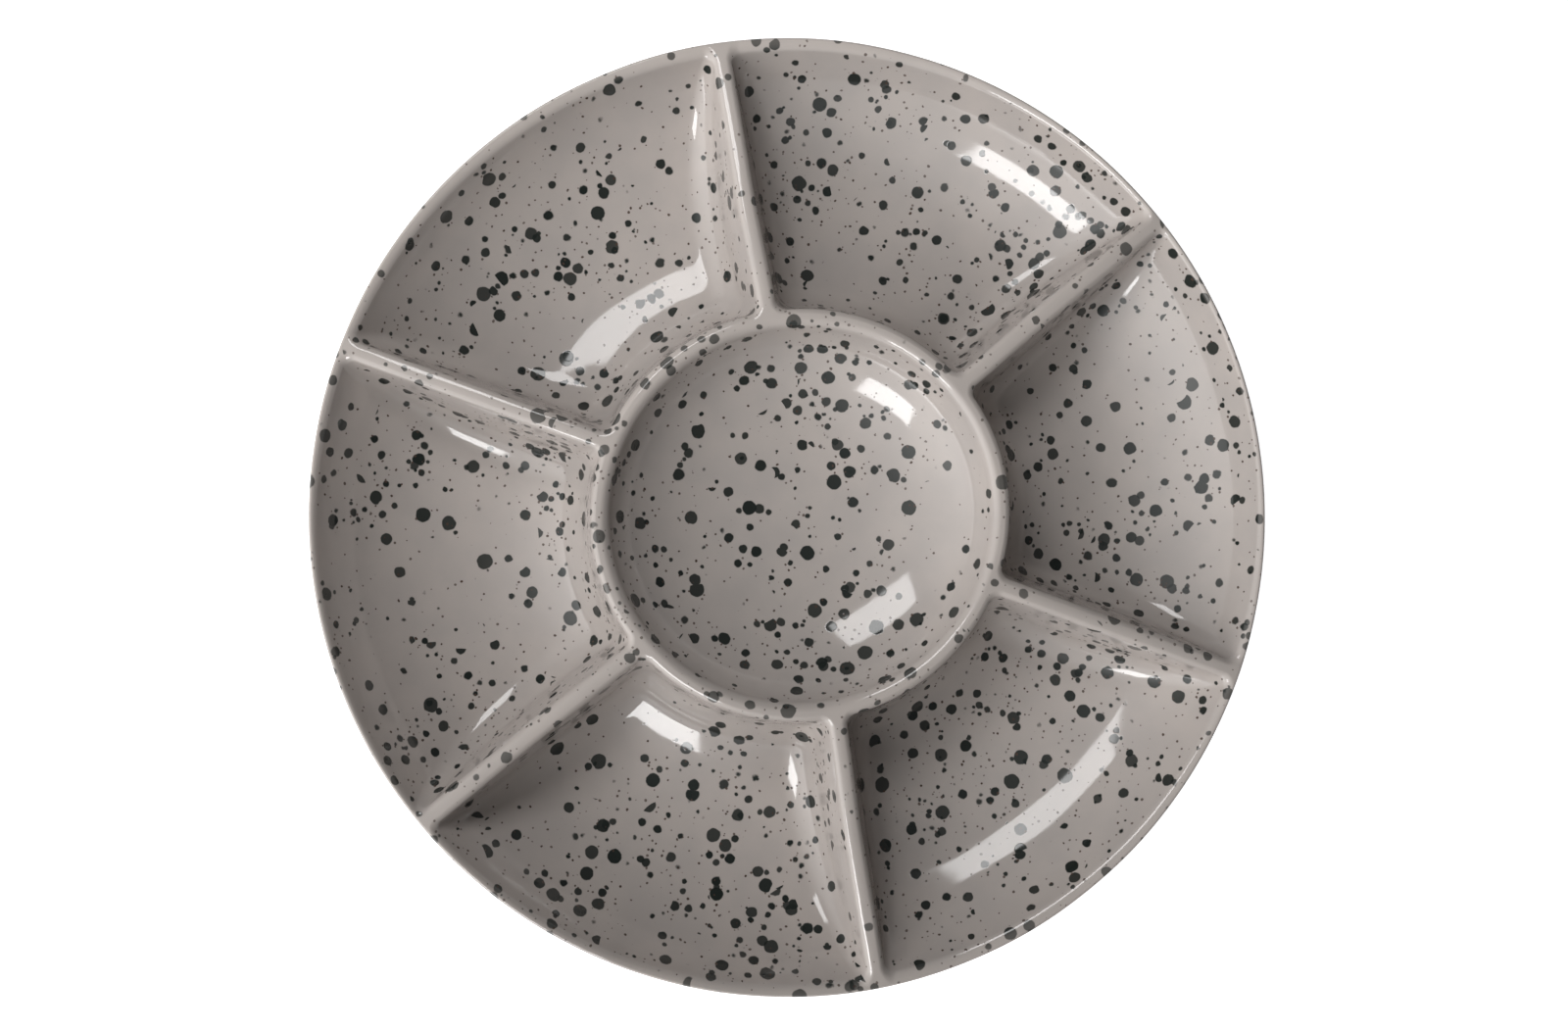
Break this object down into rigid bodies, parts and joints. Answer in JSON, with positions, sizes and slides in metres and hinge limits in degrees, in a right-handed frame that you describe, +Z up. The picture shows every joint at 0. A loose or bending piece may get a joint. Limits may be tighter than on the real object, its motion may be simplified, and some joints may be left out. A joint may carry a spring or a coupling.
{
  "type": "divided serving plate",
  "caption": "Round glazed stoneware serving plate: a deep dish with a walled centre bowl and radial dividers between equal compartments, on a low bare clay foot.",
  "frame": {"origin": "centre of the foot on the surface that the plate stands on", "axes": "+Z up through the middle of the centre bowl; +X runs along the middle of divider_1, and the dividers are numbered from it, counter-clockwise seen from above"},
  "size_m": [0.3, 0.3, 0.04],
  "materials": {
    "glaze": "glossy warm grey glaze with dark green-black speckles",
    "bare_clay": "matt unglazed stoneware"
  },
  "bodies": {
    "root": {"dish": "glaze", "centre_bowl": "glaze", "divider_1": "glaze", "divider_2": "glaze", "divider_3": "glaze", "divider_4": "glaze", "divider_5": "glaze", "divider_6": "glaze", "foot_ring": "bare_clay"}
  },
  "joints": []
}
